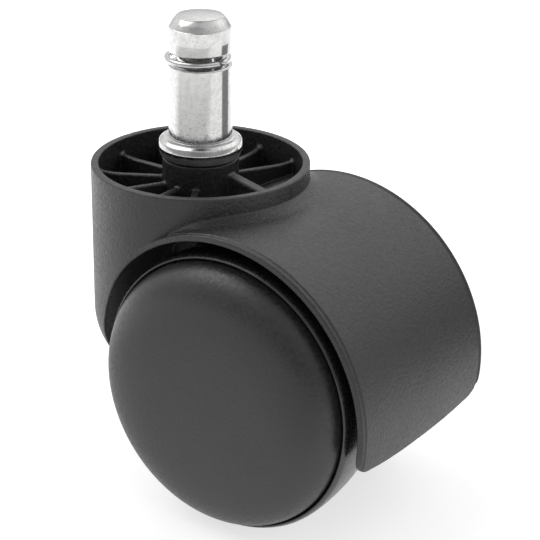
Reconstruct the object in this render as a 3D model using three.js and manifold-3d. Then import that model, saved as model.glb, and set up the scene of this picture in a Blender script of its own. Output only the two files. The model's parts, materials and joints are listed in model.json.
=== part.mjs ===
// Hooded twin-wheel chair caster with an 11 mm grip-ring stem.
//
// Millimetres, +Z up. The origin lies on the swivel axis, on top of the stem's flange.
// +X points back to the axle (the caster's trail) and Y runs along the axle.
// The caster rolls towards -X, so its left wheel is the one at -Y.

import * as THREE from 'three';
import { mergeVertices } from 'three/addons/utils/BufferGeometryUtils.js';
import Module from 'manifold-3d';

const wasm = await Module();
wasm.setup();

// ---------------------------------------------------------------- driving dimensions

const FIT = 0.3;                     // running gap between neighbouring pieces

// wheels and axle
const AXLE_X = 18.5;                 // trail: from the swivel axis back to the axle
const AXLE_Z = -36.8;
const AXLE_R = 3.0;
const AXLE_HALF = 15.6;
const AXLE_BOSS_HALF = 4.0;          // half of the housing's boss round the axle
const WASHER_THICK = 0.5;
const WHEEL_R = 24.8;                // 50 mm class wheels, on the crown of the tread
const TREAD_Y = 16.5;                // |y| of that crown; the tread falls away towards the middle
const WHEEL_IN = AXLE_BOSS_HALF + WASHER_THICK + 2 * FIT;  // |y| of the wheel's inner face
const HUB_OUT = 13.6;                // |y| of the hub's outer end
const CLIP_IN = 14.1;                // |y| where the axle's clip starts
const CLIP_THICK = 0.8;
const CLIP_R = 5.6;
const CLIP_SLOT = 4.0;
const LIP_Y = 18.6;                  // |y| of the wheel's outer lip
const CAP_R = 23.4;
const CROWN_Y = 24.5;                // |y| of the cap's crown
const CAP_SIDE = 18.0;               // |y| where the cap's side turns into its crown
const CAP_SEAT = 16.1;               // |y| of the ledge that the cap's edge sits against
const HUB_R = 7.0;
const BUSH_WALL = 1.3;
const DISC_IN = 10.2;                // the disc that joins the hub and the rim, in |y|
const DISC_OUT = 12.2;
const RIM_THICK = 3.0;
const SPOKES = 8;
const SPOKE_THICK = 1.2;

// housing: a round tower under the stem, and a hood over both wheels
const TOWER_R = 19.0;
const TOWER_WALL = 1.35;
const TOWER_TOP = -4.45;
const TOWER_BOTTOM = -41.0;
const TOWER_SKIRT_R = 13.0;          // radius of the round that draws the tower's foot in
const SKIRT_START = -31.0;           // height where that round starts
const HOOD_R = 28.35;
const WELL_R = 27.2;                 // inside of the hood, round the wheels
const HOOD_HALF = 19.45;             // half of the hood's width
const HOOD_EDGE = 1.1;               // round along the hood's outer edges
const HOOD_END = -44.75;             // lowest point of the hood's back edge, at mid-width
const HOOD_SAG = 1.15;               // how far that edge bows down between its corners
const HOOD_CORNER = 4.4;             // round of the edge's two corners
const SHELL_R = 28.7;                // outside of the wheel wells, seen in the cup
const WEB_HALF = 1.6;                // wall between the two wheels
const BOSS_R = 6.65;
const BOSS_TOP = -3.5;
const RIB_TOP = -7.5;
const MIDDLE_RIB_TOP = -5.75;         // the thick rib on the mid-plane, towards the axle
const MIDDLE_RIB_THICK = 2.0;
const RIB_THICK = 1.1;
const RIB_ANGLES = [60, 90, 120, 150, 180, 210, 240, 270, 300];
const CUP_FLOOR = -28.0;
const FLOOR_THICK = 1.6;

// stem
const STEM_R = 5.5;                  // 11 mm stem
const STEM_TOP = 21.8;
const HEAD_BOTTOM = 15.2;
const NECK_R = 3.9;                  // groove that holds the grip ring
const SHAFT_TOP = 13.15;
const FLANGE_R = 7.35;
const FLANGE_BOTTOM = -3.2;
const SHANK_R = 4.0;
const SHANK_END = -13.6;
const TAIL_R = 3.3;
const TAIL_END = -20.0;
const NECK_EDGE = 0.3;               // chamfer at the top of the stem's shaft

// pieces round the shank, inside the housing's socket
const BUSH_R = 5.0;
const BUSH_BOTTOM = -11.5;
const THRUST_R = 5.6;
const THRUST_TOP = FLANGE_BOTTOM - FIT;
const THRUST_BOTTOM = THRUST_TOP - 0.6;
const BUSH_TOP = THRUST_BOTTOM - FIT;
const SNAP_TOP = -12.4;
const SNAP_BOTTOM = -13.1;
const SNAP_SLOT = 2.4;
const SOCKET_END = -14.0;
const SOCKET_WALL = 1.3;
const TAIL_HALF = WHEEL_IN - 2 * FIT; // the socket's lower end is cut flat, clear of both wheels

// grip ring in the stem's groove
const RING_WIRE = 1.1;
const RING_R = 5.2;
const RING_Z = 14.05;
const RING_SHIFT = 0.4;              // the loose ring hangs off centre
const RING_LEAN = 216;               // degrees from +X of the side it hangs to
const RING_GAP = 10;                 // degrees between the grip ring's ends
const RING_GAP_AT = -8;              // degrees from +X of the middle of that gap

const ROUND = 60;                    // sides of the large turned surfaces
const WHEEL_SIDES = 48;              // sides of the wheels and their caps
const SMALL = 28;                    // sides of the small turned surfaces

// ---------------------------------------------------------------- materials

const plastic = (color, roughness) => new THREE.MeshStandardMaterial({ color, roughness, metalness: 0 });
const metal = (color, roughness) => new THREE.MeshStandardMaterial({ color, roughness, metalness: 1 });

const NYLON = plastic(0x2b2b2c, 0.62);
const WHEEL_NYLON = plastic(0x232324, 0.42);
const CAP_NYLON = plastic(0x2a2a2b, 0.55);
const ACETAL = plastic(0xe6e2d6, 0.4);
const ZINC = metal(0xd9dadb, 0.22);
const SPRING = metal(0xbfc1c4, 0.25);
const STEEL = metal(0xa9abad, 0.35);

// ---------------------------------------------------------------- geometry helpers

const rad = THREE.MathUtils.degToRad;
const v2 = (x, y) => new THREE.Vector2(x, y);

// A closed three.js geometry as a solid. Triangles that collapse on a lathe's axis go.
function solid(geometry) {
  const bare = geometry.clone();
  bare.deleteAttribute('normal');
  bare.deleteAttribute('uv');
  const merged = mergeVertices(bare, 1e-4);
  const corners = Array.from(merged.index.array);
  const triangles = [];
  for (let i = 0; i < corners.length; i += 3) {
    const [a, b, c] = corners.slice(i, i + 3);
    if (a !== b && b !== c && c !== a) triangles.push(a, b, c);
  }
  const build = (indices) => new wasm.Manifold(new wasm.Mesh({
    numProp: 3,
    vertProperties: new Float32Array(merged.attributes.position.array),
    triVerts: new Uint32Array(indices),
  }));
  const shape = build(triangles);
  return shape.volume() > 0 ? shape : build(triangles.reverse());
}

// A solid back as a three.js geometry with flat faces.
function geometryOf(shape) {
  const mesh = shape.getMesh();
  const geometry = new THREE.BufferGeometry();
  geometry.setAttribute('position', new THREE.BufferAttribute(mesh.vertProperties, 3));
  geometry.setIndex(new THREE.BufferAttribute(mesh.triVerts, 1));
  const flat = geometry.toNonIndexed();
  flat.computeVertexNormals();
  return flat;
}

// Profile points [radius, height] turned about the Z axis.
function turnZ(profile, sides = SMALL) {
  const geometry = new THREE.LatheGeometry(profile.map(([r, h]) => v2(r, h)), sides);
  return solid(geometry.rotateX(Math.PI / 2));
}

// Profile points [radius, |y|] turned about the axle; side -1 is left, +1 is right.
function turnAxle(profile, side, sides = SMALL) {
  const geometry = new THREE.LatheGeometry(profile.map(([r, y]) => v2(r, y)), sides);
  if (side < 0) geometry.rotateX(Math.PI);
  return solid(geometry.translate(AXLE_X, 0, AXLE_Z));
}

const rodZ = (r, z0, z1, sides = SMALL) => turnZ([[0, z0], [r, z0], [r, z1], [0, z1]], sides);
const tubeProfile = (r0, r1, a, b) => [[r0, a], [r1, a], [r1, b], [r0, b], [r0, a]];
const tubeZ = (r0, r1, z0, z1, sides = SMALL) => turnZ(tubeProfile(r0, r1, z0, z1), sides);

// A cylinder about the axle between two places along Y.
function rodAxle(r, y0, y1, sides = ROUND) {
  const geometry = new THREE.CylinderGeometry(r, r, y1 - y0, sides);
  return solid(geometry.translate(AXLE_X, (y0 + y1) / 2, AXLE_Z));
}

function block(x0, x1, y0, y1, z0, z1) {
  const geometry = new THREE.BoxGeometry(x1 - x0, y1 - y0, z1 - z0);
  return solid(geometry.translate((x0 + x1) / 2, (y0 + y1) / 2, (z0 + z1) / 2));
}

// Points of an arc in a profile, from angle a to angle b in degrees.
function arc(cx, cy, r, a, b, steps) {
  const points = [];
  for (let i = 0; i <= steps; i += 1) {
    const t = rad(a + (b - a) * i / steps);
    points.push([cx + r * Math.cos(t), cy + r * Math.sin(t)]);
  }
  return points;
}

const union = (...shapes) => shapes.reduce((all, shape) => all.add(shape));

// ---------------------------------------------------------------- housing

// The tower's outer surface at a wall's depth inside it, drawn in at the foot.
function towerBody(inset, z0, z1) {
  const round = TOWER_SKIRT_R - inset;
  const sweep = THREE.MathUtils.radToDeg(Math.asin((SKIRT_START - z0) / round));
  const foot = arc(TOWER_R - TOWER_SKIRT_R, SKIRT_START, round, -sweep, 0, 6);
  const r = TOWER_R - inset;
  return turnZ([[0, foot[0][1]], ...foot, [r, z1], [0, z1]], ROUND);
}

// The hood is a drum about the axle with rounded edges, as wide as the tower at the front.
function hoodDrum() {
  const edge = arc(HOOD_R - HOOD_EDGE, HOOD_HALF - HOOD_EDGE, HOOD_EDGE, 0, 90, 3);
  const half = [...edge, [0, HOOD_HALF]];
  const other = half.map(([r, y]) => [r, -y]).reverse();
  return turnAxle([...other, ...half], 1, ROUND);
}

// Seen from behind, the hood ends in a bowed edge with round corners.
function hoodOutline() {
  const cornerY = HOOD_HALF - HOOD_CORNER;
  const cornerZ = HOOD_END + HOOD_SAG + HOOD_CORNER;
  const corner = arc(cornerY, cornerZ, HOOD_CORNER, 0, -90, 6);
  const bow = [0.75, 0.5, 0.25].map((t) => [cornerY * t, HOOD_END + HOOD_SAG * t ** 2.5]);
  const half = [[HOOD_HALF, 0], ...corner, ...bow];
  const other = half.map(([y, z]) => [-y, z]).reverse();
  const shape = new THREE.Shape([...half, [0, HOOD_END], ...other].map(([y, z]) => v2(y, z)));
  const geometry = new THREE.ExtrudeGeometry(shape, { depth: 2 * HOOD_R, bevelEnabled: false });
  return solid(geometry.rotateX(Math.PI / 2).rotateZ(Math.PI / 2).translate(AXLE_X, 0, 0));
}

function hood() {
  const front = block(0, AXLE_X, -30, 30, AXLE_Z, 0);
  return hoodDrum().intersect(hoodOutline().add(front));
}

function rib(angle, thick, top) {
  const inner = BOSS_R - 1;
  const length = TOWER_R - 0.4 - inner;
  const bar = new THREE.BoxGeometry(length, thick, top - CUP_FLOOR);
  bar.translate(inner + length / 2, 0, (top + CUP_FLOOR) / 2);
  return solid(bar.rotateZ(rad(angle)));
}

function ribs() {
  const thin = RIB_ANGLES.map((angle) => rib(angle, RIB_THICK, RIB_TOP));
  return union(rib(0, MIDDLE_RIB_THICK, MIDDLE_RIB_TOP), ...thin);
}

// Cup round the stem's boss, down to the wheel wells behind and to a floor in front.
function cup() {
  const inner = TOWER_R - TOWER_WALL;
  return rodZ(inner, CUP_FLOOR, 0, ROUND)
    .subtract(rodAxle(SHELL_R, -30, 30))
    .subtract(rodZ(BOSS_R, -30, 0))
    .subtract(ribs());
}

// Hollow under the cup's floor, open at the bottom on both sides of the middle wall.
function footHollow() {
  return towerBody(TOWER_WALL, TOWER_BOTTOM - 1, CUP_FLOOR - FLOOR_THICK)
    .intersect(block(-TOWER_R, 0, -TOWER_R, TOWER_R, TOWER_BOTTOM - 1, 0))
    .subtract(rodAxle(SHELL_R, -30, 30))
    .subtract(block(-TOWER_R, 0, -WEB_HALF, WEB_HALF, TOWER_BOTTOM - 2, 0));
}

// Middle wall between the wheels, the axle's boss, and the lower end of the stem's socket.
function middleWall() {
  const reach = (WELL_R + HOOD_R) / 2;
  const wall = rodAxle(reach, -WEB_HALF, WEB_HALF)
    .intersect(block(-TOWER_R, 60, -WEB_HALF, WEB_HALF, TOWER_BOTTOM, 0));
  const axleBoss = rodAxle(HUB_R - 0.5, -AXLE_BOSS_HALF, AXLE_BOSS_HALF, SMALL);
  const socket = rodZ(BOSS_R, SOCKET_END - SOCKET_WALL, BOSS_TOP);
  const tail = rodZ(TAIL_R + FIT + SOCKET_WALL, TAIL_END - 2, BOSS_TOP)
    .intersect(block(-TOWER_R, TOWER_R, -TAIL_HALF, TAIL_HALF, TOWER_BOTTOM, 0));
  return union(wall, axleBoss, socket, tail);
}

function socketBore() {
  return union(
    rodZ(THRUST_R + FIT, BUSH_TOP, 1),
    rodZ(BUSH_R + FIT, SOCKET_END, 1),
    rodZ(TAIL_R + FIT, TAIL_END - FIT, 1),
  );
}

function housing() {
  const well = rodAxle(WELL_R, WEB_HALF, 30).add(rodAxle(WELL_R, -30, -WEB_HALF));
  return union(towerBody(0, TOWER_BOTTOM, TOWER_TOP), hood())
    .subtract(cup())
    .subtract(footHollow())
    .subtract(well)
    .add(middleWall())
    .subtract(socketBore())
    .subtract(rodAxle(AXLE_R + FIT, -10, 10, SMALL));
}

// ---------------------------------------------------------------- stem group

function stem() {
  return turnZ([
    [0, TAIL_END],
    [TAIL_R - 0.6, TAIL_END],
    [TAIL_R, TAIL_END + 0.6],
    [TAIL_R, SHANK_END],
    [SHANK_R, SHANK_END],
    [SHANK_R, SNAP_BOTTOM - FIT],
    [TAIL_R, SNAP_BOTTOM - FIT],
    [TAIL_R, SNAP_TOP + FIT],
    [SHANK_R, SNAP_TOP + FIT],
    [SHANK_R, FLANGE_BOTTOM],
    [6.9, FLANGE_BOTTOM],
    [FLANGE_R, -1.9],
    [FLANGE_R, -1.2],
    [7.1, -0.5],
    [6.5, 0],
    [STEM_R, 0],
    [STEM_R, SHAFT_TOP - NECK_EDGE],
    [STEM_R - NECK_EDGE, SHAFT_TOP],
    [NECK_R, SHAFT_TOP],
    [NECK_R, HEAD_BOTTOM],
    [4.9, HEAD_BOTTOM],
    [5.4, HEAD_BOTTOM + 0.4],
    [5.5, 17.0],
    [5.3, 19.5],
    [4.75, 20.6],
    [4.1, 21.25],
    [2.3, 21.65],
    [0, STEM_TOP],
  ]);
}

class RingPath extends THREE.Curve {
  getPoint(t) {
    const from = rad(RING_GAP_AT + RING_GAP / 2);
    const angle = from + t * rad(360 - RING_GAP);
    return new THREE.Vector3(RING_R * Math.cos(angle), RING_R * Math.sin(angle), 0);
  }
}

function gripRing() {
  const section = new THREE.Shape(arc(0, 0, RING_WIRE / 2, 0, 324, 9).map(([x, y]) => v2(x, y)));
  const options = { steps: 48, extrudePath: new RingPath(), bevelEnabled: false };
  const geometry = new THREE.ExtrudeGeometry(section, options);
  const dx = RING_SHIFT * Math.cos(rad(RING_LEAN));
  const dy = RING_SHIFT * Math.sin(rad(RING_LEAN));
  return solid(geometry.translate(dx, dy, RING_Z));
}

const thrustWasher = () => tubeZ(SHANK_R + FIT, THRUST_R, THRUST_BOTTOM, THRUST_TOP);
const stemBush = () => tubeZ(SHANK_R + FIT, BUSH_R, BUSH_BOTTOM, BUSH_TOP);

// Flat snap ring, open on its +X side.
function stemSnapRing() {
  const half = SNAP_SLOT / 2;
  return tubeZ(TAIL_R + FIT, BUSH_R, SNAP_BOTTOM, SNAP_TOP)
    .subtract(block(0, BUSH_R + 1, -half, half, SNAP_BOTTOM - 1, SNAP_TOP + 1));
}

// ---------------------------------------------------------------- wheels

function axle() {
  const groove = [CLIP_IN - FIT, CLIP_IN + CLIP_THICK + FIT];
  const half = [
    [AXLE_R, groove[0]],
    [AXLE_R - 2 * FIT, groove[0]],
    [AXLE_R - 2 * FIT, groove[1]],
    [AXLE_R, groove[1]],
    [AXLE_R, AXLE_HALF - 0.4],
    [AXLE_R - 0.4, AXLE_HALF],
    [0, AXLE_HALF],
  ];
  const other = half.map(([r, y]) => [r, -y]).reverse();
  return turnAxle([...other, ...half], 1);
}

// Nylon wheel: tread and rim, a disc with spokes, and a hub; its lip stands round the cap.
function wheel(side) {
  const rimIn = WHEEL_R - RIM_THICK;
  const boreR = AXLE_R + FIT + BUSH_WALL + FIT;
  const tread = (y) => WHEEL_R - 0.012 * (TREAD_Y - y) ** 2;
  const body = turnAxle([
    [HUB_R, WHEEL_IN],
    [HUB_R, DISC_IN],
    [rimIn, DISC_IN],
    [rimIn, WHEEL_IN + 0.4],
    [rimIn + 0.4, WHEEL_IN],
    [tread(WHEEL_IN) - 0.5, WHEEL_IN],
    [tread(WHEEL_IN + 0.5), WHEEL_IN + 0.5],
    [tread(9), 9],
    [tread(13), 13],
    [WHEEL_R, TREAD_Y],
    [WHEEL_R, LIP_Y - 0.8],
    [WHEEL_R - 0.2, LIP_Y - 0.2],
    [WHEEL_R - 0.7, LIP_Y],
    [CAP_R + FIT, LIP_Y - 0.1],
    [CAP_R + FIT, CAP_SEAT],
    [CAP_R - 2.2, CAP_SEAT],
    [CAP_R - 2.2, DISC_OUT],
    [HUB_R, DISC_OUT],
    [HUB_R, HUB_OUT],
    [boreR, HUB_OUT],
    [boreR, WHEEL_IN],
    [HUB_R, WHEEL_IN],
  ], side, WHEEL_SIDES);
  const spokes = [];
  const spokeIn = WHEEL_IN + 1;
  const spokeOut = DISC_IN + 0.2;
  for (let i = 0; i < SPOKES; i += 1) {
    const bar = new THREE.BoxGeometry(rimIn - HUB_R + 1, spokeOut - spokeIn, SPOKE_THICK);
    bar.translate((rimIn + HUB_R) / 2, side * (spokeIn + spokeOut) / 2, 0);
    bar.rotateY(rad(360 / SPOKES * (i + 0.5)));
    spokes.push(solid(bar.translate(AXLE_X, 0, AXLE_Z)));
  }
  return body.add(union(...spokes));
}

// Crowned cover that snaps into the wheel's outer side.
function wheelCap(side) {
  const wall = 1.5;
  const crown = (inset, steps) => {
    const points = [];
    for (let i = 0; i <= steps; i += 1) {
      const t = i / steps;
      const r = (CAP_R - inset) * Math.cos(t * Math.PI / 2) ** 0.4;
      const y = CAP_SIDE + (CROWN_Y - inset - CAP_SIDE) * Math.sin(t * Math.PI / 2);
      points.push([i === steps ? 0 : r, y]);
    }
    return points;
  };
  return turnAxle([
    [CAP_R - wall, CAP_SEAT + FIT],
    [CAP_R, CAP_SEAT + FIT],
    ...crown(0, 8),
    ...crown(wall, 5).reverse(),
    [CAP_R - wall, CAP_SEAT + FIT],
  ], side, WHEEL_SIDES);
}

function hubBush(side) {
  const bore = AXLE_R + FIT;
  return turnAxle(tubeProfile(bore, bore + BUSH_WALL, WHEEL_IN, HUB_OUT), side);
}

function spacerWasher(side) {
  const inner = AXLE_BOSS_HALF + FIT;
  return turnAxle(tubeProfile(AXLE_R + FIT, HUB_R - 0.8, inner, inner + WASHER_THICK), side);
}

// E-clip in the axle's groove outside the hub bush, open downwards.
function axleClip(side) {
  const ring = turnAxle(tubeProfile(AXLE_R - FIT, CLIP_R, CLIP_IN, CLIP_IN + CLIP_THICK), side);
  const slot = new THREE.BoxGeometry(CLIP_SLOT, CLIP_THICK + 2, 2 * CLIP_R);
  slot.translate(AXLE_X, side * (CLIP_IN + CLIP_THICK / 2), AXLE_Z - CLIP_R);
  return ring.subtract(solid(slot));
}

// ---------------------------------------------------------------- assembly

const caster = new THREE.Group();

function add(name, shape, material) {
  const mesh = new THREE.Mesh(geometryOf(shape), material);
  mesh.name = name;
  caster.add(mesh);
}

add('stem', stem(), ZINC);
add('grip_ring', gripRing(), SPRING);
add('stem_thrust_washer', thrustWasher(), STEEL);
add('stem_bush', stemBush(), ACETAL);
add('stem_snap_ring', stemSnapRing(), SPRING);
add('housing', housing(), NYLON);
add('axle', axle(), STEEL);

for (const [label, side] of [['left', -1], ['right', 1]]) {
  add(`wheel_${label}`, wheel(side), WHEEL_NYLON);
  add(`wheel_cap_${label}`, wheelCap(side), CAP_NYLON);
  add(`hub_bush_${label}`, hubBush(side), ACETAL);
  add(`spacer_washer_${label}`, spacerWasher(side), STEEL);
  add(`axle_clip_${label}`, axleClip(side), SPRING);
}

export default caster;
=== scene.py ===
"""Looks of a hooded twin-wheel chair caster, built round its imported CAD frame.

Shapes are drawn in millimetres in the frame's own axes and scaled to metres as they are made. The
origin is on the swivel axis at the top of the stem's flange, +X points back to the wheel axle, Y
runs along the axle and +Z is up.
"""
import json
import math

import bmesh
import bpy
import numpy as np
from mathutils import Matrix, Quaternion, Vector


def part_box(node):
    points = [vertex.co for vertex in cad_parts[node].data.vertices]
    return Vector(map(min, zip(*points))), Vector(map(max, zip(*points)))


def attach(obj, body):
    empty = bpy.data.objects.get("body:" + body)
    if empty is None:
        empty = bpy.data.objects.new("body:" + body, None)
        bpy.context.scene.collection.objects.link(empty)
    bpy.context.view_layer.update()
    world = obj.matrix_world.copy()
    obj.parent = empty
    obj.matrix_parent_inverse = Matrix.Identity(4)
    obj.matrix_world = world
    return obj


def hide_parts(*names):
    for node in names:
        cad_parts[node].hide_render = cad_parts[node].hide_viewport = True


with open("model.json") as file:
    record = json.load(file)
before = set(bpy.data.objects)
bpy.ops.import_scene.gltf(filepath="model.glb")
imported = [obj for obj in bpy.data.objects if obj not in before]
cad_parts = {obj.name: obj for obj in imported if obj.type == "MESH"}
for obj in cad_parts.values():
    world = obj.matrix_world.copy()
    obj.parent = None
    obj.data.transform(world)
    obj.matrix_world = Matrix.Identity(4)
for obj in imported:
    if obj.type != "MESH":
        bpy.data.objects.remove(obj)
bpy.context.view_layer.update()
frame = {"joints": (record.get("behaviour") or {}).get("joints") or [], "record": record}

MM = 0.001


# ---------------------------------------------------------------- camera

VIEW_AZIMUTH = 35.07        # degrees
VIEW_ELEVATION = 23.63
VIEW_ROLL = 0.62
VIEW_DISTANCE = 332.9
VIEW_TARGET = Vector((12.80, 3.02, -23.02))
LENS = 127.0


def add_camera():
    azimuth = math.radians(VIEW_AZIMUTH)
    elevation = math.radians(VIEW_ELEVATION)
    flat = math.cos(elevation)
    back = Vector((math.sin(azimuth) * flat, -math.cos(azimuth) * flat, math.sin(elevation)))
    roll = Quaternion((0, 0, 1), math.radians(VIEW_ROLL))
    data = bpy.data.cameras.new("camera")
    data.lens = LENS
    data.clip_start = 0.01
    data.clip_end = 20
    camera = bpy.data.objects.new("camera", data)
    camera.rotation_mode = "QUATERNION"
    camera.rotation_quaternion = (-back).to_track_quat("-Z", "Y") @ roll
    camera.location = (VIEW_TARGET + back * VIEW_DISTANCE) * MM
    bpy.context.scene.collection.objects.link(camera)
    bpy.context.scene.camera = camera


add_camera()


# ---------------------------------------------------------------- sizes from the frame

def box_mm(node):
    """The lowest and highest corners of a CAD node's box, in millimetres."""
    low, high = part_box(node)
    return low / MM, high / MM


housing_low, housing_high = box_mm("housing")
wheel_low, wheel_high = box_mm("wheel_right")
cap_low, cap_high = box_mm("wheel_cap_right")
stem_high = box_mm("stem")[1]
axle_high = box_mm("axle")[1]

wheel_joint = next(joint for joint in frame["joints"] if joint["name"] == "wheel_right_spin")
AXLE_X = wheel_joint["pos_m"][0] / MM
AXLE_Z = wheel_joint["pos_m"][2] / MM
FIT = 0.3                                     # running gap between neighbouring pieces

TOWER_R = -housing_low.x
TOWER_TOP = -4.45
TOWER_BOTTOM = -41.0
TOWER_WALL = 1.35
SKIRT_R = 13.0                                # round that draws the tower's foot in
SKIRT_START = -31.0
HOOD_R = housing_high.x - AXLE_X
HOOD_HALF = housing_high.y
HOOD_END = housing_low.z
HOOD_SAG = 1.15
HOOD_CORNER = 4.4
HOOD_SPREAD = 0.041                           # the sides open out from the tower by this slope
HOOD_EDGE = 0.7                               # round along the hood's side edges
HOOD_BACK_EDGE = 0.45
SWEEP_RISE = 1.0                              # the hood's rise to the crease along the tower
SWEEP_REACH = 2.6
SWEEP_FADE = (0.7, 3.2)                       # none, then all of it, this far in from the side
GROOVE_R = 0.34                               # thin groove beside the hood's bead
GROOVE_LIFT = 0.12
GROOVE_IN = 1.15
WELL_R = 27.2                                 # inside of the hood, round the wheels
SHELL_R = 28.7                                # outside of the wheel wells, seen in the cup
WEB_HALF = 1.6                                # half of the wall between the wheels
BOSS_R = 6.65
BOSS_TOP = housing_high.z
BOSS_HALF = 10.0                              # half of the boss's height
CUP_FLOOR = -28.0
FLOOR_THICK = 1.6
RIB_TOP = -7.5
RIB_THICK = 1.1
RIB_DRAFT = 0.01                              # each side's slope, towards the foot
RIB_ROUND = 0.3
RIB_FLICK = 0.4                               # rise where the rib nears the tower's wall
RIB_FLICK_START = 13.6
RIB_FLICK_LENGTH = 4.0
MIDDLE_RIB_TOP = -5.55
MIDDLE_RIB_FALL = 0.22
MIDDLE_RIB_LENGTH = 12.0
MIDDLE_RIB_THICK = 2.0
RIB_ANGLES = [60, 90, 120, 150, 180]          # one side; the other mirrors it
AXLE_R = 3.0
AXLE_BOSS_R = 6.5
AXLE_BOSS_HALF = 4.0
SOCKET_DEPTH = 11.8                           # the stem's socket, below the top of the boss
TAIL_R = 4.9                                  # its lower end, cut flat on both sides
TAIL_HALF = 4.4
TAIL_BOTTOM = -22.0
STEM_BORES = [(5.9, -4.4), (5.3, -14.0), (3.6, -20.3)]   # radius and lowest height
SEAM_OUT = 0.06                               # mark of the mould's parting on the tower
SEAM_R = 0.34
SEAM_Z = -6.4
SEAM_HALF = 1.0
NICK_R = 0.35                                 # and at the middle of the hood's back edge
NICK_DEPTH = 0.7


# ---------------------------------------------------------------- solids as distance fields

def rounded_union(a, b, r):
    """Both solids, with a fillet of radius r where they meet."""
    return np.maximum(r, np.minimum(a, b)) - np.hypot(np.maximum(r - a, 0), np.maximum(r - b, 0))


def rounded_overlap(a, b, r):
    """What both solids share, with its new edge rounded to radius r."""
    return np.minimum(-r, np.maximum(a, b)) + np.hypot(np.maximum(r + a, 0), np.maximum(r + b, 0))


def rounded_cut(a, b, r):
    """The first solid less the second, with the cut's edge rounded to radius r."""
    return rounded_overlap(a, -b, r)


def smoothstep(low, high, t):
    """From 0 at low to 1 at high, level at both ends."""
    t = np.clip((t - low) / (high - low), 0, 1)
    return t * t * (3 - 2 * t)


def tower_field(swing, z, inset):
    """The tower's outer skin, moved in by inset."""
    foot = np.hypot(np.maximum(swing - TOWER_R + SKIRT_R, 0), np.maximum(SKIRT_START - z, 0))
    straight = swing - TOWER_R
    return np.where(z > SKIRT_START, straight, foot - SKIRT_R) + inset


def hood_back_field(y, z):
    """Above the hood's back edge, which bows down between two round corners."""
    corner_y = HOOD_HALF - HOOD_CORNER
    corner_z = HOOD_END + HOOD_SAG + HOOD_CORNER
    bow = HOOD_SAG * (1 - np.clip(y / corner_y, 0, 1) ** 2.5)
    out = y - corner_y
    down = corner_z - z - bow
    around = np.hypot(np.maximum(out, 0), np.maximum(down, 0))
    return around + np.minimum(np.maximum(out, down), 0) - HOOD_CORNER


def hood_field(x, y, z, reach):
    """The drum over the wheels, which sweeps up a little to a crease along the tower."""
    half = np.minimum(TOWER_R + HOOD_SPREAD * np.maximum(x, 0), HOOD_HALF)
    near = np.clip(1 - (np.hypot(x, y) - TOWER_R) / SWEEP_REACH, 0, 1) ** 2
    start, end = SWEEP_FADE
    sweep = SWEEP_RISE * near * smoothstep(TOWER_R - start, TOWER_R - end, y)
    drum = rounded_overlap(reach - HOOD_R - sweep, hood_back_field(y, z), HOOD_BACK_EDGE)
    bead = rounded_overlap(drum, y - half, HOOD_EDGE)
    groove = np.hypot(reach - HOOD_R - GROOVE_LIFT, y - half + GROOVE_IN) - GROOVE_R
    return np.maximum(rounded_cut(bead, groove, 0.1), -x)


def ribs_field(x, y, z):
    """Ribs between the boss and the tower's wall, a little thicker at the foot.

    The middle one falls away from the boss, and the others curve up where they near the wall.
    """
    found = np.full(x.shape, 1e3)
    ribs = [(0, MIDDLE_RIB_THICK)]
    ribs += [(angle, RIB_THICK) for angle in RIB_ANGLES]
    for angle, thick in ribs:
        cosine = math.cos(math.radians(angle))
        sine = math.sin(math.radians(angle))
        along = x * cosine + y * sine
        across = np.abs(y * cosine - x * sine)
        if angle:
            past = np.clip((along - RIB_FLICK_START) / RIB_FLICK_LENGTH, 0, 1.2)
            top = RIB_TOP + RIB_FLICK * past ** 2
        else:
            past = np.clip(along - BOSS_R, 0, MIDDLE_RIB_LENGTH)
            top = MIDDLE_RIB_TOP - MIDDLE_RIB_FALL * past
        side = across - thick / 2 - RIB_DRAFT * (top - z)
        rib = rounded_overlap(side, z - top, RIB_ROUND)
        found = np.minimum(found, np.maximum(rib, -along))
    return found


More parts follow.
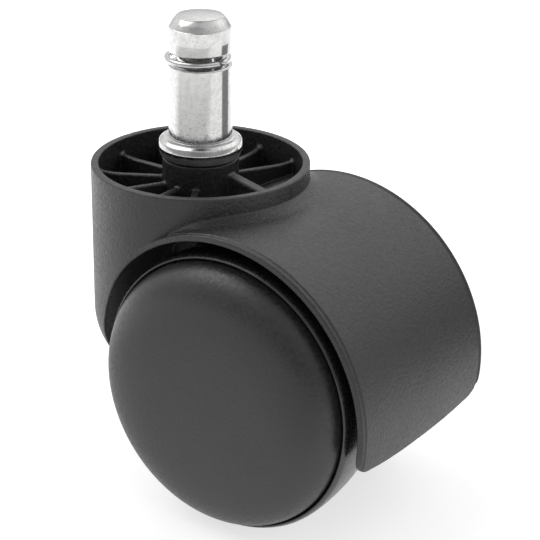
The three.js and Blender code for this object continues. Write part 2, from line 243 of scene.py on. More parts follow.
def housing_field(x, y, z):
    """Distance from the housing's skin in millimetres, negative inside the plastic."""
    y = np.abs(y)
    swing = np.hypot(x, y)
    reach = np.hypot(x - AXLE_X, z - AXLE_Z)

    # the tower and the hood
    tower = rounded_overlap(tower_field(swing, z, 0), TOWER_BOTTOM - z, 0.5)
    tower = rounded_overlap(tower, z - TOWER_TOP, 0.3)
    skin = rounded_union(tower, hood_field(x, y, z, reach), 0.12)

    # the cup round the boss, over the wheel wells' outer shell
    boss = swing - BOSS_R
    filled = rounded_union(reach - SHELL_R, boss, 0.6)
    filled = rounded_union(filled, ribs_field(x, y, z), 0.35)
    cup = rounded_overlap(tower_field(swing, SKIRT_START + 1, TOWER_WALL), CUP_FLOOR - z, 1.0)
    skin = rounded_cut(skin, rounded_cut(cup, filled, 0.5), 0.22)
    boss_ends = np.abs(z - BOSS_TOP + BOSS_HALF) - BOSS_HALF
    skin = np.minimum(skin, rounded_overlap(boss, boss_ends, 0.3))

    # the hollow under the cup's floor, open at the bottom
    foot = np.maximum(tower_field(swing, z, TOWER_WALL), z - CUP_FLOOR + FLOOR_THICK)
    foot = rounded_cut(foot, reach - SHELL_R, 0.5)
    foot = rounded_cut(foot, y - WEB_HALF, 0.5)
    skin = rounded_cut(skin, foot, 0.3)

    # wheel wells on both sides of the middle wall, which carries the axle's boss
    wall = rounded_overlap(y - WEB_HALF, TOWER_BOTTOM - z, 0.5)
    axle_boss = rounded_overlap(reach - AXLE_BOSS_R, y - AXLE_BOSS_HALF, 0.4)
    socket = rounded_overlap(boss, -z + BOSS_TOP - SOCKET_DEPTH, 0.4)
    tail = rounded_overlap(swing - TAIL_R, y - TAIL_HALF, 0.3)
    tail = rounded_overlap(tail, TAIL_BOTTOM - z, 0.4)
    keep = rounded_union(wall, axle_boss, 0.8)
    keep = rounded_union(keep, np.minimum(socket, tail), 0.6)
    skin = rounded_cut(skin, rounded_cut(reach - WELL_R, keep, 0.1), 0.3)

    # bores for the axle and the stem
    skin = rounded_cut(skin, reach - AXLE_R - FIT, 0.2)
    bores = [np.maximum(swing - radius, bottom - z) for radius, bottom in STEM_BORES]
    skin = rounded_cut(skin, np.minimum.reduce(bores), 0.15)

    # the mould's parting line: a short groove on the tower and a nick in the hood's back edge
    seam = np.hypot(x - TOWER_R - SEAM_OUT, y) - SEAM_R
    seam = np.maximum(seam, np.abs(z - SEAM_Z) - SEAM_HALF)
    nick = np.maximum(np.hypot(y, z - HOOD_END) - NICK_R, HOOD_R - NICK_DEPTH - reach)
    return rounded_cut(skin, np.minimum(seam, nick), 0.06)


def grid_lines(low, high, step, fine=()):
    """Places from low to high a step apart, and closer inside each fine (start, end, step)."""
    lines = list(np.arange(low, high + step, step))
    for start, end, small in fine:
        lines = [t for t in lines if not start - small / 2 < t < end + small / 2]
        lines += list(np.arange(start, end + small / 2, small))
    return np.array(sorted(lines))


def surface_net(values, axes):
    """Points and quads on the zero surface of a sampled field, a point in each cell it crosses."""
    cells = tuple(len(line) - 1 for line in axes)
    total = np.zeros((math.prod(cells), 3))
    hits = np.zeros(math.prod(cells))
    quads = []
    for axis in range(3):
        near = values.take(range(cells[axis]), axis)
        far = values.take(range(1, cells[axis] + 1), axis)
        at = np.argwhere((near < 0) != (far < 0))
        a = near[tuple(at.T)]
        b = far[tuple(at.T)]
        point = np.stack([axes[i][at[:, i]] for i in range(3)], axis=1)
        ahead = axes[axis][at[:, axis] + 1]
        point[:, axis] += (ahead - point[:, axis]) * a / (a - b)
        ring = []
        for du, dv in ((0, 0), (1, 0), (1, 1), (0, 1)):
            cell = at.copy()
            cell[:, (axis + 1) % 3] -= du
            cell[:, (axis + 2) % 3] -= dv
            ring.append(np.ravel_multi_index(cell.T, cells))
        ring = np.stack(ring, axis=1)
        for corner in ring.T:
            np.add.at(total, corner, point)
            np.add.at(hits, corner, 1)
        quads.append(np.where((a < 0)[:, None], ring, ring[:, ::-1]))
    quads = np.concatenate(quads)
    used = np.flatnonzero(hits)
    number = np.zeros(len(hits), int)
    number[used] = np.arange(len(used))
    return total[used] / hits[used, None], number[quads]


def gradient(field, points, reach=0.02):
    """The field's values at some points, and its slopes there."""
    slopes = []
    for axis in range(3):
        ahead = points.copy()
        ahead[:, axis] += reach
        behind = points.copy()
        behind[:, axis] -= reach
        slopes.append((field(*ahead.T) - field(*behind.T)) / (2 * reach))
    return field(*points.T), np.stack(slopes, axis=1)


def settle(field, points, rounds=3):
    """Points moved onto the field's zero surface, and the surface's outward directions there."""
    for _ in range(rounds):
        value, slope = gradient(field, points)
        steep = np.maximum((slope ** 2).sum(1), 0.25)
        move = slope * (value / steep)[:, None]
        points = points - np.clip(move, -0.15, 0.15)
    slope = gradient(field, points)[1]
    return points, slope / np.maximum(np.linalg.norm(slope, axis=1), 1e-6)[:, None]


def mesh_of(name, points, faces):
    """A mesh in metres from an array of points in millimetres."""
    mesh = bpy.data.meshes.new(name)
    mesh.from_pydata([tuple(p) for p in points * MM], [], [tuple(f) for f in faces])
    mesh.validate()
    return mesh


# ---------------------------------------------------------------- turned and swept shapes

STEM_SIDES = 128                              # sides of what is turned about the swivel axis
WHEEL_SIDES = 144
SMALL_SIDES = 96


def outline(*corners):
    """Points of a closed profile from its corners (radius, height, round)."""
    points = []
    for i, (radius, height, bend) in enumerate(corners):
        here = Vector((radius, height))
        if not bend:
            points.append((radius, height))
            continue
        before = Vector(corners[i - 1][:2]) - here
        after = Vector(corners[(i + 1) % len(corners)][:2]) - here
        half = before.angle(after) / 2
        back = min(bend / math.tan(half), 0.48 * before.length, 0.48 * after.length)
        middle = (before.normalized() + after.normalized()).normalized()
        centre = here + middle * (back / math.cos(half))
        reach = back * math.tan(half)
        first = here + before.normalized() * back - centre
        last = here + after.normalized() * back - centre
        start = math.atan2(first.y, first.x)
        turn = math.atan2(last.y, last.x) - start
        turn = (turn + math.pi) % math.tau - math.pi
        steps = max(2, round(abs(turn) / math.radians(11)))
        for k in range(steps + 1):
            angle = start + turn * k / steps
            points.append((centre.x + reach * math.cos(angle), centre.y + reach * math.sin(angle)))
    return points


def closed_mesh(name, points, faces):
    """A mesh from a list of points in millimetres, with every face turned outwards."""
    mesh = mesh_of(name, np.array(points, float), faces)
    shape = bmesh.new()
    shape.from_mesh(mesh)
    bmesh.ops.recalc_face_normals(shape, faces=shape.faces)
    shape.to_mesh(mesh)
    shape.free()
    return mesh


def turned(name, profile, side=0, sides=STEM_SIDES):
    """A closed profile turned about the swivel axis, or about the axle if side is 1 or -1."""
    points = []
    rings = []
    for radius, height in profile:
        count = 1 if radius < 1e-6 else sides
        rings.append((len(points), count))
        for k in range(count):
            angle = math.tau * k / count
            a = radius * math.cos(angle)
            b = radius * math.sin(angle)
            points.append((AXLE_X + a, side * height, AXLE_Z + b) if side else (a, b, height))
    faces = []
    for i, (here, count) in enumerate(rings):
        there, other = rings[(i + 1) % len(rings)]
        for k in range(sides):
            after = (k + 1) % sides
            if count > 1 and other > 1:
                faces.append((here + k, here + after, there + after, there + k))
            elif count > 1:
                faces.append((here + k, here + after, there))
            elif other > 1:
                faces.append((here, there + after, there + k))
    return closed_mesh(name, points, faces)


def box_mesh(name, centre, size, turn=0.0, about=(0.0, 0.0)):
    """A box with eased edges, turned about the axle's direction at a place in X and Z."""
    shape = bmesh.new()
    bmesh.ops.create_cube(shape, size=1)
    for vert in shape.verts:
        vert.co = Vector([c + v * s for c, v, s in zip(centre, vert.co, size)])
        x = vert.co.x - about[0]
        z = vert.co.z - about[1]
        vert.co.x = about[0] + x * math.cos(turn) + z * math.sin(turn)
        vert.co.z = about[1] + z * math.cos(turn) - x * math.sin(turn)
        vert.co *= MM
    edges = list(shape.edges)
    bmesh.ops.bevel(shape, geom=edges, offset=0.15 * MM, segments=2, profile=0.5, affect="EDGES")
    mesh = bpy.data.meshes.new(name)
    shape.to_mesh(mesh)
    shape.free()
    return mesh


def combine(mesh, tools, operation):
    """A mesh with the tools' meshes joined to it or cut from it, made as one closed skin."""
    base = bpy.data.objects.new(mesh.name, mesh)
    bpy.context.scene.collection.objects.link(base)
    helpers = [base]
    for tool in tools:
        helper = bpy.data.objects.new(tool.name, tool)
        bpy.context.scene.collection.objects.link(helper)
        helpers.append(helper)
        modifier = base.modifiers.new(tool.name, "BOOLEAN")
        modifier.object = helper
        modifier.operation = operation
        modifier.solver = "EXACT"
    shown = bpy.context.evaluated_depsgraph_get()
    result = bpy.data.meshes.new_from_object(base.evaluated_get(shown))
    result.name = mesh.name
    for helper in helpers:
        bpy.data.objects.remove(helper)
    return result


def shade(mesh, angle=32):
    """Smooth shading, with edges sharper than the angle left crisp."""
    mesh.shade_smooth()
    mesh.set_sharp_from_angle(angle=math.radians(angle))


# ---------------------------------------------------------------- materials

def new_material(name):
    """A material with its node tree, its shader and its object coordinates."""
    material = bpy.data.materials.new(name)
    material.use_nodes = True
    tree = material.node_tree
    shader = tree.nodes["Principled BSDF"]
    place = tree.nodes.new("ShaderNodeTexCoord").outputs["Object"]
    return material, tree, shader, place


def noise(tree, place, size, detail=2.0, rough=0.5):
    """Noise with features of about that size in millimetres."""
    node = tree.nodes.new("ShaderNodeTexNoise")
    node.inputs["Scale"].default_value = 1 / (size * MM)
    node.inputs["Detail"].default_value = detail
    node.inputs["Roughness"].default_value = rough
    tree.links.new(place, node.inputs["Vector"])
    return node.outputs["Fac"]


def remap(tree, value, from_low, from_high, to_low, to_high):
    node = tree.nodes.new("ShaderNodeMapRange")
    node.inputs["From Min"].default_value = from_low
    node.inputs["From Max"].default_value = from_high
    node.inputs["To Min"].default_value = to_low
    node.inputs["To Max"].default_value = to_high
    tree.links.new(value, node.inputs["Value"])
    return node.outputs["Result"]


def calculate(tree, operation, a, b):
    node = tree.nodes.new("ShaderNodeMath")
    node.operation = operation
    for socket, value in zip(node.inputs, (a, b)):
        if isinstance(value, (int, float)):
            socket.default_value = value
        else:
            tree.links.new(value, socket)
    return node.outputs["Value"]


def blend_colours(tree, factor, first, second):
    node = tree.nodes.new("ShaderNodeMix")
    node.data_type = "RGBA"
    tree.links.new(factor, node.inputs["Factor"])
    for name, colour in (("A", first), ("B", second)):
        socket = next(s for s in node.inputs if s.name == name and s.type == "RGBA")
        if isinstance(colour, tuple):
            socket.default_value = (*colour, 1)
        else:
            tree.links.new(colour, socket)
    return next(s for s in node.outputs if s.type == "RGBA")


def bump(tree, shader, heights):
    """Bump from (height, depth in millimetres) pairs, one over the other."""
    normal = None
    for height, depth in heights:
        node = tree.nodes.new("ShaderNodeBump")
        node.inputs["Distance"].default_value = depth * MM
        tree.links.new(height, node.inputs["Height"])
        if normal is not None:
            tree.links.new(normal, node.inputs["Normal"])
        normal = node.outputs["Normal"]
    tree.links.new(normal, shader.inputs["Normal"])


def moulded_nylon(name, colour, roughness, grain, shine):
    """Black nylon: a fine spark-eroded grain, faint flow mottling and a little handling shine."""
    material, tree, shader, place = new_material(name)
    shader.inputs["Specular IOR Level"].default_value = shine
    fine = noise(tree, place, 0.26, 2, 0.6)
    mottle = noise(tree, place, 0.6, 3)
    cloud = noise(tree, place, 9, 3)
    dark = tuple(c * 0.7 for c in colour)
    light = tuple(c * 1.5 for c in colour)
    base = blend_colours(tree, remap(tree, mottle, 0.3, 0.7, 0, 1), dark, light)
    tree.links.new(base, shader.inputs["Base Color"])
    rough = calculate(tree, "ADD", remap(tree, cloud, 0.3, 0.7, -0.025, 0.025),
                      remap(tree, mottle, 0.3, 0.7, roughness - 0.09, roughness + 0.09))
    tree.links.new(rough, shader.inputs["Roughness"])
    bump(tree, shader, [(mottle, grain * 2.4), (fine, grain * 1.2)])
    return material


SHAFT_FOOT = (0.001, 0.009)                   # heights in metres where the specks thin out
UNDER_FLANGE = (-0.0022, -0.0016)             # heights in metres where the plating turns dull


def plated_steel(name, colour, roughness, speckle):
    """Bright plating: mottled bloom, dark specks towards the foot, and dull under the flange."""
    material, tree, shader, place = new_material(name)
    shader.inputs["Metallic"].default_value = 1
    bloom = noise(tree, place, 0.9, 4, 0.62)
    specks = noise(tree, place, 0.33, 3, 0.7)
    apart = tree.nodes.new("ShaderNodeSeparateXYZ")
    tree.links.new(place, apart.inputs["Vector"])
    stained = remap(tree, apart.outputs["Z"], *SHAFT_FOOT, 1.6, 0.6)
    spots = calculate(tree, "MULTIPLY", remap(tree, specks, 0.53, 0.66, 0, speckle), stained)
    grey = tuple(c * 0.82 for c in colour)
    base = blend_colours(tree, remap(tree, bloom, 0.35, 0.7, 0, 1), colour, grey)
    base = blend_colours(tree, spots, base, tuple(c * 0.42 for c in colour))
    tree.links.new(base, shader.inputs["Base Color"])
    worn = remap(tree, bloom, 0.3, 0.7, roughness - 0.05, roughness + 0.07)
    rough = calculate(tree, "ADD", worn, calculate(tree, "MULTIPLY", spots, 0.25))
    dull = remap(tree, apart.outputs["Z"], *UNDER_FLANGE, 0.3, 0)
    tree.links.new(calculate(tree, "ADD", rough, dull), shader.inputs["Roughness"])
    bump(tree, shader, [(bloom, 0.004), (specks, 0.003)])
    return material


def acetal(name, colour):
    """Milky plastic, slightly clouded."""
    material, tree, shader, place = new_material(name)
    cloud = noise(tree, place, 2.5, 3)
    pale = tuple(c * 1.05 for c in colour)
    base = blend_colours(tree, remap(tree, cloud, 0.3, 0.7, 0, 1), colour, pale)
    tree.links.new(base, shader.inputs["Base Color"])
    tree.links.new(remap(tree, cloud, 0.3, 0.7, 0.34, 0.46), shader.inputs["Roughness"])
    bump(tree, shader, [(noise(tree, place, 0.3, 2), 0.004)])
    return material


HOUSING = moulded_nylon("housing_nylon", (0.011, 0.011, 0.0113), 0.45, 0.052, 0.75)
TREAD = moulded_nylon("wheel_nylon", (0.010, 0.010, 0.0103), 0.28, 0.008, 0.85)
CAP = moulded_nylon("cap_nylon", (0.010, 0.010, 0.0103), 0.42, 0.020, 0.72)
ZINC = plated_steel("zinc_plate", (0.66, 0.66, 0.655), 0.1, 0.4)
SPRING = plated_steel("spring_steel", (0.62, 0.62, 0.62), 0.12, 0.2)
STEEL = plated_steel("plain_steel", (0.56, 0.56, 0.57), 0.32, 0.15)
ACETAL = acetal("acetal", (0.78, 0.75, 0.68))


# ---------------------------------------------------------------- pieces

def add_piece(name, mesh, node, material):
    """Stands for the CAD node, on the node's own body."""
    body = next(b for b, nodes in frame["record"]["behaviour"]["bodies"].items() if node in nodes)
    mesh.name = name
    mesh.materials.clear()
    mesh.materials.append(material)
    piece = bpy.data.objects.new(name, mesh)
    bpy.context.scene.collection.objects.link(piece)
    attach(piece, body)
    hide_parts(node)


def add_turned(name, profile, node, material, side=0, sides=STEM_SIDES, angle=32):
    """A turned piece in a CAD node's place."""
    mesh = turned(name, profile, side, sides)
    shade(mesh, angle)
    add_piece(name, mesh, node, material)


def mesh_from_field(name, field, axes_half, keep):
    """The field's skin as a mesh that is the same on both sides of the middle plane.

    Its faces are thinned to the share to keep, and its points then put back on the skin.
    """
    x_lines, half_lines, z_lines = axes_half
    values = field(*np.meshgrid(x_lines, half_lines, z_lines, indexing="ij"))
    values = np.concatenate([values[:, ::-1], values], axis=1)
    y_lines = np.concatenate([-half_lines[::-1], half_lines])
    points, quads = surface_net(values, (x_lines, y_lines, z_lines))
    points = settle(field, points)[0]
    full = bpy.data.objects.new(name, mesh_of(name, points, quads))
    bpy.context.scene.collection.objects.link(full)
    thin = full.modifiers.new("thin", "DECIMATE")
    thin.ratio = keep
    shown = bpy.context.evaluated_depsgraph_get()
    mesh = bpy.data.meshes.new_from_object(full.evaluated_get(shown))
    bpy.data.objects.remove(full)
    points = np.array([vert.co for vert in mesh.vertices]) / MM
    points, outwards = settle(field, points, 2)
    mesh.vertices.foreach_set("co", (points * MM).astype(np.float32).ravel())
    mesh.shade_smooth()
    mesh.normals_split_custom_set_from_vertices([tuple(n) for n in outwards])
    return mesh


GRID = 0.36                                   # grid step; finer at the seam, edges and rim
KEPT_FACES = 0.42


def housing_mesh():
    """The housing's field sampled on its own grid of X, positive Y and Z, and skinned."""
    seam = (TOWER_R - 0.4, TOWER_R + 0.3, 0.12)
    x_lines = grid_lines(-TOWER_R - 0.8, AXLE_X + HOOD_R + 0.8, GRID, [seam])
    middle = (0.06, 0.66, 0.12)
    edge = (HOOD_HALF - 1.9, HOOD_HALF + 0.35, 0.13)
    half_lines = grid_lines(GRID / 2, HOOD_HALF + 0.45, GRID, [middle, edge])
    rim = (-5.4, -3.2, 0.15)
    z_lines = grid_lines(HOOD_END - 0.8, BOSS_TOP + 0.6, GRID, [rim])
    axes_half = (x_lines, half_lines, z_lines)
    return mesh_from_field("housing_shell", housing_field, axes_half, KEPT_FACES)


add_piece("housing_shell", housing_mesh(), "housing", HOUSING)


STEM_R = 5.5
NECK_R = 3.9                                  # groove that holds the grip ring
SHANK_R = 4.0
SHANK_NECK_R = 3.3                            # the snap ring's groove, and the tail below it


def stem_profile():
    """From the top down: a shallow dome, a cone, a barrel band, neck, shaft, flange and shank."""
    top = stem_high.z
    dome = [(0, top), (1.2, top - 0.03), (2.3, top - 0.11), (3.2, top - 0.24)]
    body = outline(
        (3.2, top - 0.24, 0),
        (3.95, 21.44, 0.05),
        (3.98, 21.32, 0.04),
        (4.12, 21.3, 0.05),
        (4.74, 20.6, 1.2),
        (5.27, 19.76, 0.05),
        (5.2, 19.66, 0.04),
        (5.34, 19.56, 0.08),
        (STEM_R, 17.2, 2.0),
        (5.45, 15.2, 0.45),
        (NECK_R, 15.2, 0.12),
        (NECK_R, 13.12, 0.15),
        (STEM_R, 13.12, 0.3),
        (STEM_R, 0.35, 0.15),
        (5.42, 0.02, 0.12),
        (5.9, -0.08, 0.3),
        (6.5, 0.0, 0.35),
        (7.12, -0.45, 0.5),
        (7.36, -1.4, 0.5),
        (7.24, -2.1, 0.35),
        (6.85, -3.2, 0.12),
        (SHANK_R, -3.2, 0.1),
        (SHANK_R, -12.1, 0.1),
        (SHANK_NECK_R, -12.1, 0.1),
        (SHANK_NECK_R, -13.4, 0.1),
        (SHANK_R, -13.4, 0.1),
        (SHANK_R, -13.6, 0.08),
        (SHANK_NECK_R, -13.6, 0.1),
        (SHANK_NECK_R, -20.0, 0.6),
        (0, -20.0, 0),
    )
    return [*dome, *body[1:]]


RING_R = 5.2
RING_WIRE = 1.1
RING_Z = 14.05
RING_SHIFT = 0.4                              # the loose ring hangs off centre
RING_LEAN = math.radians(216)                 # towards this side
RING_GAP = math.radians(10)
RING_GAP_AT = math.radians(-8)
RING_END_ROOM = math.radians(4)               # left on each side of the gap for a rounded end


def wire_ring(name, ring, wire, centre, gap_at, gap, sides=20, steps=120):
    """Round wire bent to an open ring, with rounded ends that reach into the widened gap."""
    points = []
    half = RING_END_ROOM + gap / 2
    angles = list(np.linspace(gap_at + half, gap_at + math.tau - half, steps))
    end = [(math.sin(t), math.cos(t)) for t in np.linspace(math.pi / 2, 0.2, 5)]
    rounds = [(angles[0] - a * wire / 2 / ring, b) for a, b in end]
    rounds += [(angle, 1.0) for angle in angles]
    rounds += [(angles[-1] + a * wire / 2 / ring, b) for a, b in reversed(end)]
    for angle, scale in rounds:
        for k in range(sides):
            around = math.tau * k / sides
            reach = ring + wire / 2 * scale * math.cos(around)
            lift = wire / 2 * scale * math.sin(around)
            x = centre[0] + reach * math.cos(angle)
            y = centre[1] + reach * math.sin(angle)
            points.append((x, y, centre[2] + lift))
    faces = []
    for i in range(len(rounds) - 1):
        for k in range(sides):
            after = (k + 1) % sides
            faces.append((i * sides + k, i * sides + after,
                          (i + 1) * sides + after, (i + 1) * sides + k))
    faces.append(tuple(range(sides)))
    faces.append(tuple(range(len(points) - sides, len(points))))
    mesh = closed_mesh(name, points, faces)
    mesh.shade_smooth()
    return mesh


add_turned("steel_stem", stem_profile(), "stem", ZINC, angle=40)
ring_centre = (RING_SHIFT * math.cos(RING_LEAN), RING_SHIFT * math.sin(RING_LEAN), RING_Z)
ring_mesh = wire_ring("wire_grip_ring", RING_R, RING_WIRE, ring_centre, RING_GAP_AT, RING_GAP)
add_piece("wire_grip_ring", ring_mesh, "grip_ring", SPRING)


def band(r0, r1, a, b, ease=0.1):
    """Profile of a ring between two radii and two heights, with eased corners."""
    return outline((r0, a, ease), (r1, a, ease), (r1, b, ease), (r0, b, ease))


def slit_ring(name, profile, side, slot_centre, slot_size):
    """A flat ring cut open by a box-shaped slot."""
    ring = turned(name, profile, side, SMALL_SIDES)
    mesh = combine(ring, [box_mesh(name + "_slot", slot_centre, slot_size)], "DIFFERENCE")
    shade(mesh)
    return mesh


SHANK_BORE = SHANK_R + FIT                    # inside of what turns on the shank
THRUST_R = 5.6
THRUST_TOP = -3.5
THRUST_BOTTOM = -4.1
BUSH_R = 5.0
BUSH_TOP = -4.4
BUSH_BOTTOM = -11.5
SNAP_BORE = 3.6
SNAP_R = 5.0
SNAP_TOP = -12.4
SNAP_BOTTOM = -13.1
SNAP_SLOT = 2.4

washer_band = band(SHANK_BORE, THRUST_R, THRUST_BOTTOM, THRUST_TOP)
add_turned("thrust_washer", washer_band, "stem_thrust_washer", STEEL)
bush_band = band(SHANK_BORE, BUSH_R, BUSH_BOTTOM, BUSH_TOP)
add_turned("swivel_bush", bush_band, "stem_bush", ACETAL)
snap_band = band(SNAP_BORE, SNAP_R, SNAP_BOTTOM, SNAP_TOP)
slot_at = (SNAP_R, 0, (SNAP_TOP + SNAP_BOTTOM) / 2)
snap = slit_ring("snap_ring", snap_band, 0, slot_at, (6, SNAP_SLOT, 3))
add_piece("snap_ring", snap, "stem_snap_ring", SPRING)


# ---------------------------------------------------------------- axle and wheels

WHEEL_R = (wheel_high.z - wheel_low.z) / 2
WHEEL_IN = wheel_low.y
LIP_Y = wheel_high.y
CAP_R = (cap_high.z - cap_low.z) / 2
CROWN_Y = cap_high.y
CAP_EDGE_R = CAP_R + 0.25                      # closes the seam with the wheel's lip
CAP_FULLNESS = 0.33
CAP_SIDE = 18.0
CAP_SEAT = cap_low.y - FIT
CAP_WALL = 1.5
HUB_R = 7.0
HUB_BORE = 4.9
HUB_OUT = 13.6
SLEEVE_R = HUB_BORE - FIT
TREAD_Y = 16.5                                # the tread's crown
TREAD_FALL = 0.012                            # its radius falls by this times the distance squared
DISC_IN = 10.2
DISC_OUT = 12.2
RIM_IN_R = WHEEL_R - 3
LEDGE_R = CAP_R - 2.2                         # inside of the ledge that the cap sits against
SPOKES = 8
SPOKE_THICK = 1.2
AXLE_BORE = AXLE_R + FIT                      # inside of what turns on the axle
AXLE_GROOVE_R = 2.4
SPACER_R = 6.2
SPACER_IN = AXLE_BOSS_HALF + FIT
SPACER_OUT = 4.8
CLIP_IN = 14.1
CLIP_THICK = 0.8
CLIP_BORE = 2.7
CLIP_R = 5.6
CLIP_SLOT = 4.0


def axle_profile():
    """The axle's profile, grooved near both ends for the clips."""
    end = axle_high.y
    groove_in = CLIP_IN - FIT
    groove_out = CLIP_IN + CLIP_THICK + FIT
    half = outline(
        (0, 0, 0),
        (AXLE_R, 0, 0),
        (AXLE_R, groove_in, 0.05),
        (AXLE_GROOVE_R, groove_in, 0.05),
        (AXLE_GROOVE_R, groove_out, 0.05),
        (AXLE_R, groove_out, 0.05),
        (AXLE_R, end, 0.4),
        (0, end, 0),
    )
    half = half[1:]                           # less its corner inside the axle
    mirrored = [(r, -y) for r, y in reversed(half[1:])]
    return [*mirrored, *half]


def tread_r(y):
    """The wheel's radius at a distance from the middle plane."""
    return WHEEL_R - TREAD_FALL * (TREAD_Y - y) ** 2


def wheel_profile():
    """From the hub's bore out along the inner face, over the tread and lip, and back in."""
    tread = [(tread_r(y), y, 0) for y in np.linspace(WHEEL_IN + 1.2, TREAD_Y, 14)]
    return outline(
        (HUB_BORE, WHEEL_IN, 0.2),
        (HUB_R, WHEEL_IN, 0.3),
        (HUB_R + 0.15, DISC_IN, 0.6),
        (RIM_IN_R - 0.15, DISC_IN, 0.6),
        (RIM_IN_R, WHEEL_IN, 0.5),
        (tread_r(WHEEL_IN), WHEEL_IN, 0.7),
        *tread,
        (WHEEL_R - 0.08, LIP_Y - 0.75, 1.6),
        (WHEEL_R - 0.62, LIP_Y, 0.2),
        (CAP_EDGE_R + 0.14, LIP_Y - 0.45, 0.15),
        (CAP_EDGE_R + 0.1, CAP_SEAT, 0.1),
        (LEDGE_R, CAP_SEAT, 0.2),
        (LEDGE_R, DISC_OUT, 0.6),
        (HUB_R, DISC_OUT, 0.5),
        (HUB_R, HUB_OUT, 0.3),
        (HUB_BORE, HUB_OUT, 0.2),
    )


def wheel_mesh(name, side):
    """The turned wheel joined to its spokes, which are behind its disc."""
    body = turned(name, wheel_profile(), side, WHEEL_SIDES)
    spokes = []
    for i in range(SPOKES):
        low = WHEEL_IN + 1
        high = DISC_IN + 0.6
        centre = (AXLE_X + (RIM_IN_R + HUB_R) / 2, side * (low + high) / 2, AXLE_Z)
        size = (RIM_IN_R - HUB_R + 1, high - low, SPOKE_THICK)
        turn = math.tau * (i + 0.5) / SPOKES
        spokes.append(box_mesh(f"{name}_spoke_{i}", centre, size, turn, (AXLE_X, AXLE_Z)))
    mesh = combine(body, spokes, "UNION")
    shade(mesh, 30)
    return mesh


def cap_profile():
    """The cap's upright edge and domed crown, with a wall of even thickness."""
    def crown(inset, steps):
        points = []
        for t in np.linspace(0, 1, steps) ** 0.8:
            r = (CAP_EDGE_R - inset) * math.cos(t * math.pi / 2) ** CAP_FULLNESS
            y = CAP_SIDE + (CROWN_Y - inset - CAP_SIDE) * math.sin(t * math.pi / 2)
            points.append((r if t < 1 else 0, y))
        return points

    inner = crown(CAP_WALL, 24)[::-1]
    base = cap_low.y
    edge = outline(
        (CAP_EDGE_R - CAP_WALL, base, 0.15),
        (CAP_EDGE_R, base, 0.15),
        (CAP_EDGE_R, base + 1, 0),
        (CAP_EDGE_R - CAP_WALL, base + 1, 0),
    )
    return [*edge[:-1], *crown(0, 64), *inner]


add_turned("axle_pin", axle_profile(), "axle", STEEL, 1, SMALL_SIDES)

for label, side in (("left", -1), ("right", 1)):
    wheel = wheel_mesh(f"rolling_wheel_{label}", side)
    add_piece(f"rolling_wheel_{label}", wheel, f"wheel_{label}", TREAD)
    add_turned(f"domed_cap_{label}", cap_profile(), f"wheel_cap_{label}", CAP,
               side, WHEEL_SIDES, 40)
    sleeve_band = band(AXLE_BORE, SLEEVE_R, WHEEL_IN, HUB_OUT)
    add_turned(f"hub_sleeve_{label}", sleeve_band, f"hub_bush_{label}", ACETAL,
               side, SMALL_SIDES)
    spacer_band = band(AXLE_BORE, SPACER_R, SPACER_IN, SPACER_OUT)
    add_turned(f"spacer_{label}", spacer_band, f"spacer_washer_{label}", STEEL,
               side, SMALL_SIDES)
    clip_band = band(CLIP_BORE, CLIP_R, CLIP_IN, CLIP_IN + CLIP_THICK)
    slot_at = (AXLE_X, side * (CLIP_IN + CLIP_THICK / 2), AXLE_Z - CLIP_R)
    clip = slit_ring(f"e_clip_{label}", clip_band, side, slot_at, (CLIP_SLOT, 3, 2 * CLIP_R))
    add_piece(f"e_clip_{label}", clip, f"axle_clip_{label}", SPRING)


# ---------------------------------------------------------------- studio

def away_from(azimuth, elevation):
    """Unit vector in a direction in degrees: azimuth 0 is the front, 90 the right."""
    a = math.radians(azimuth)
    e = math.radians(elevation)
    return Vector((math.sin(a) * math.cos(e), -math.cos(a) * math.cos(e), math.sin(e)))


def add_stage(name, corners, colour, glow):
    """A flat piece of the studio, with a faint unevenness in its paint."""
    mesh = bpy.data.meshes.new(name)
    mesh.from_pydata([tuple(c) for c in corners], [], [(0, 1, 2, 3)])
    material, tree, shader, place = new_material(name)
    cloud = remap(tree, noise(tree, place, 90), 0.3, 0.7, 0, 1)
    pale = (colour * 1.01,) * 3
    tree.links.new(blend_colours(tree, cloud, (colour,) * 3, pale), shader.inputs["Base Color"])
    shader.inputs["Roughness"].default_value = 0.8
    shader.inputs["Specular IOR Level"].default_value = 0.1
    shader.inputs["Emission Color"].default_value = (1, 1, 1, 1)
    shader.inputs["Emission Strength"].default_value = glow
    mesh.materials.append(material)
    piece = bpy.data.objects.new(name, mesh)
    bpy.context.scene.collection.objects.link(piece)
    return piece


def along_floor(tree, place, azimuth, start, end):
    """From 0 to 1 between two distances from the swivel axis, in a direction in degrees."""
    node = tree.nodes.new("ShaderNodeVectorMath")
    node.operation = "DOT_PRODUCT"
    node.inputs[1].default_value = away_from(azimuth, 0)
    tree.links.new(place, node.inputs[0])
    return remap(tree, node.outputs["Value"], start, end, 0, 1)


def light_up(floor):
    """A floor that glows more behind the caster on the left, less in front, and more far off."""
    tree = floor.data.materials[0].node_tree
    place = tree.nodes.new("ShaderNodeTexCoord").outputs["Object"]
    left = along_floor(tree, place, 238, 0.03, 0.13)
    front = along_floor(tree, place, 0, 0.05, 0.10)
    loss = calculate(tree, "MULTIPLY", front, remap(tree, left, 0, 1, FLOOR_CHANGE, 0))
    change = calculate(tree, "SUBTRACT", remap(tree, left, 0, 1, 0, FLOOR_CHANGE), loss)
    node = tree.nodes.new("ShaderNodeVectorMath")
    node.operation = "LENGTH"
    tree.links.new(place, node.inputs[0])
    away = node.outputs["Value"]
    near = remap(tree, away, 0.13, 0.5, 1, 0)
    base_glow = remap(tree, away, 0.14, 0.4, FLOOR_GLOW, FLOOR_GLOW + FLOOR_FAR_GLOW)
    glow = calculate(tree, "ADD", calculate(tree, "MULTIPLY", change, near), base_glow)
    tree.links.new(glow, tree.nodes["Principled BSDF"].inputs["Emission Strength"])


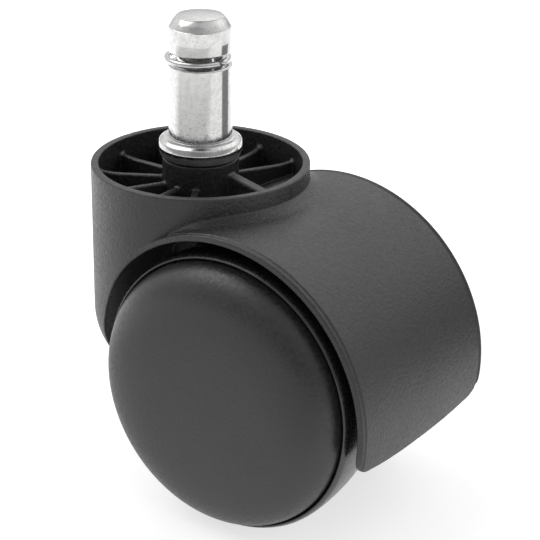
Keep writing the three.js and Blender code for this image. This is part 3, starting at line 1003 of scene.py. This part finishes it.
def add_flag(azimuth, distance, width, height):
    """A dark card on the floor that only reflections see."""
    across = away_from(azimuth + 90, 0) * width / 2
    foot = away_from(azimuth, 0) * distance
    foot.z = FLOOR_Z
    top = Vector((0, 0, height))
    corners = [foot - across, foot + across, foot + across + top, foot - across + top]
    card = add_stage("flag", corners, FLAG_COLOUR, 0)
    card.visible_camera = False
    card.visible_diffuse = False
    card.visible_shadow = False


def add_key(azimuth, elevation, size, power):
    """A square area light that faces the caster."""
    away = away_from(azimuth, elevation)
    data = bpy.data.lights.new("key", "AREA")
    data.energy = power
    data.size = size
    light = bpy.data.objects.new("key", data)
    light.rotation_mode = "QUATERNION"
    light.rotation_quaternion = away.to_track_quat("Z", "Y")
    light.location = KEY_TARGET + away * KEY_DISTANCE
    bpy.context.scene.collection.objects.link(light)


def glow_towards(tree, direction, azimuth, elevation, tightness, strength):
    """A soft round patch of light in the studio's walls."""
    node = tree.nodes.new("ShaderNodeVectorMath")
    node.operation = "DOT_PRODUCT"
    node.inputs[1].default_value = away_from(azimuth, elevation)
    tree.links.new(direction, node.inputs[0])
    short = calculate(tree, "SUBTRACT", node.outputs["Value"], 1)
    near = calculate(tree, "MULTIPLY", short, tightness)
    return calculate(tree, "MULTIPLY", calculate(tree, "EXPONENT", near, 0), strength)


def add_world():
    """Soft lights all round, a dark gap overhead, and a white backdrop behind the floor's edge."""
    world = bpy.data.worlds.new("studio")
    bpy.context.scene.world = world
    world.use_nodes = True
    tree = world.node_tree
    direction = tree.nodes.new("ShaderNodeTexCoord").outputs["Generated"]
    total = None
    for azimuth, elevation, strength in SOFT_LIGHTS:
        patch = glow_towards(tree, direction, azimuth, elevation, PATCH_TIGHTNESS, strength)
        total = calculate(tree, "ADD", total if total is not None else ROOM, patch)
    gap = glow_towards(tree, direction, 0, 90, GAP_TIGHTNESS, GAP_DEPTH)
    total = calculate(tree, "MULTIPLY", total, calculate(tree, "SUBTRACT", 1, gap))
    seen = tree.nodes.new("ShaderNodeLightPath").outputs["Is Camera Ray"]
    strength = calculate(tree, "MAXIMUM", total, seen)
    tree.links.new(strength, tree.nodes["Background"].inputs["Strength"])
    tree.nodes["Background"].inputs["Color"].default_value = (1, 1, 1, 1)


FLOOR_Z = wheel_low.z * MM
FLOOR_HALF = 4.0
FLOOR_COLOUR = 0.5
FLOOR_GLOW = 0.68
FLOOR_CHANGE = 0.5                            # the glow's gain behind and loss in front
FLOOR_FAR_GLOW = 0.15
FLAG_COLOUR = 0.28
KEY_TARGET = Vector((0.01, 0, -0.03))
KEY_DISTANCE = 0.8
ROOM = 0.20                                   # the studio's own dim light
PATCH_TIGHTNESS = 8
GAP_TIGHTNESS = 30
GAP_DEPTH = 0.95
SOFT_LIGHTS = (
    # azimuth, elevation, strength
    (284, 62, 0.90),
    (305, 25, 0.35),
    (262, 15, 0.70),
    (215, 20, 0.35),
    (197, 42, 0.80),
    (165, 32, 0.50),
    (135, 28, 0.60),
    (140, 62, 0.30),
    (76, 28, 0.32),
    (75, 66, 0.32),
    (0, 45, 0.12),
    (350, 12, 0.15),
)

floor_corners = [(-FLOOR_HALF, -FLOOR_HALF, FLOOR_Z), (FLOOR_HALF, -FLOOR_HALF, FLOOR_Z),
                 (FLOOR_HALF, FLOOR_HALF, FLOOR_Z), (-FLOOR_HALF, FLOOR_HALF, FLOOR_Z)]
light_up(add_stage("floor", floor_corners, FLOOR_COLOUR, FLOOR_GLOW))
add_flag(azimuth=136, distance=0.120, width=0.073, height=0.050)
add_world()
add_key(azimuth=284, elevation=58, size=0.6, power=1.5)
bpy.context.scene.view_settings.view_transform = "Standard"
